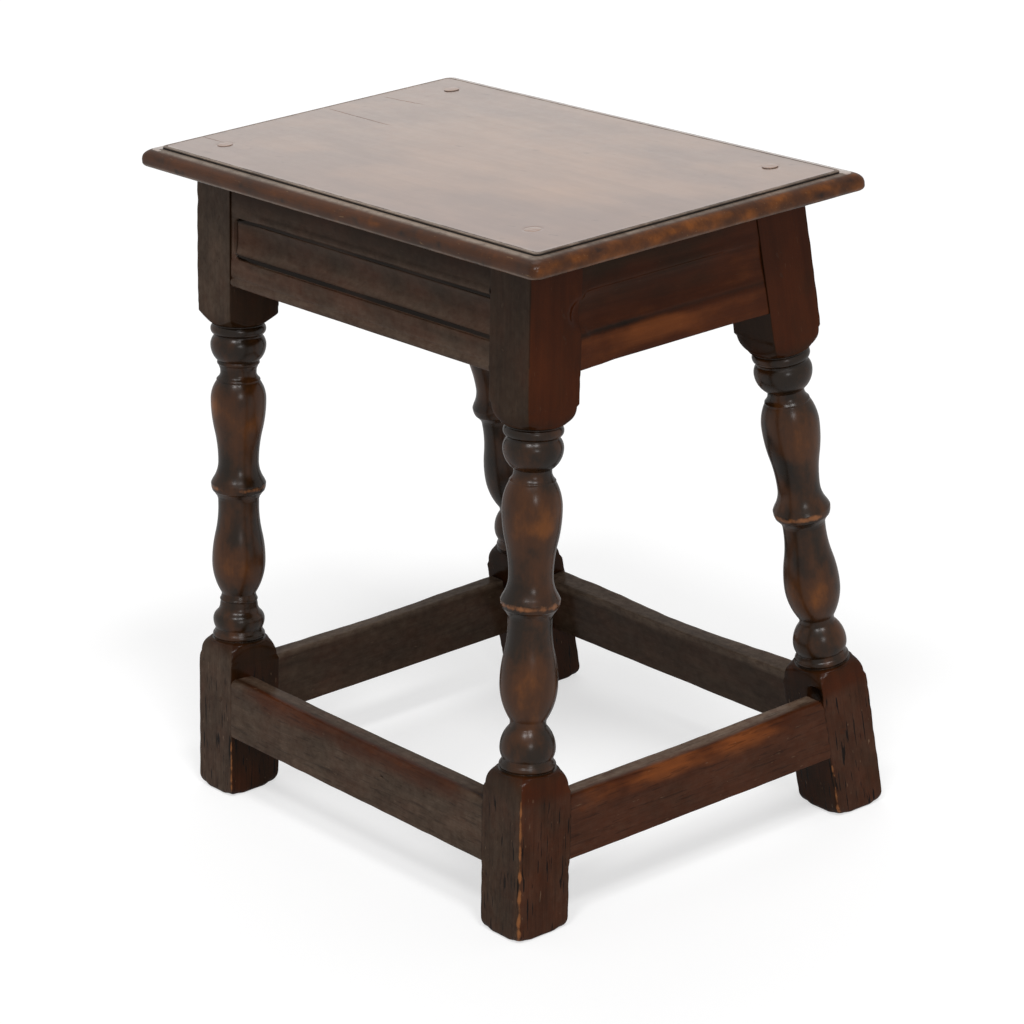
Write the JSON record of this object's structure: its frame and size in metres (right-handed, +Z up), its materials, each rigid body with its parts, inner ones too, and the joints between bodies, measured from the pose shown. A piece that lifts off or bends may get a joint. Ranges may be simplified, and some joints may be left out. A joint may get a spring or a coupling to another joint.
{
  "type": "joint stool",
  "caption": "Joined oak stool: a moulded board pegged on splayed, turned legs with square blocks, joined by moulded rails and low plain stretchers.",
  "frame": {"origin": "on the floor under the middle of the board", "axes": "+X along the board to its right end, +Y to its back, +Z up"},
  "size_m": [0.536, 0.3804, 0.551],
  "materials": {
    "board": "waxed",
    "frame": "waxed",
    "peg": "waxed"
  },
  "bodies": {
    "root": {"seat_board": "board", "leg_front_left": "frame", "leg_front_right": "frame", "leg_back_left": "frame", "leg_back_right": "frame", "rail_front": "frame", "rail_back": "frame", "rail_left": "frame", "rail_right": "frame", "stretcher_front": "frame", "stretcher_back": "frame", "stretcher_left": "frame", "stretcher_right": "frame", "seat_peg_front_left": "peg", "seat_peg_front_right": "peg", "seat_peg_back_left": "peg", "seat_peg_back_right": "peg", "rail_pegs_front_left": "peg", "rail_pegs_front_right": "peg", "rail_pegs_back_left": "peg", "rail_pegs_back_right": "peg", "stretcher_pegs_front_left": "peg", "stretcher_pegs_front_right": "peg", "stretcher_pegs_back_left": "peg", "stretcher_pegs_back_right": "peg"}
  },
  "joints": []
}
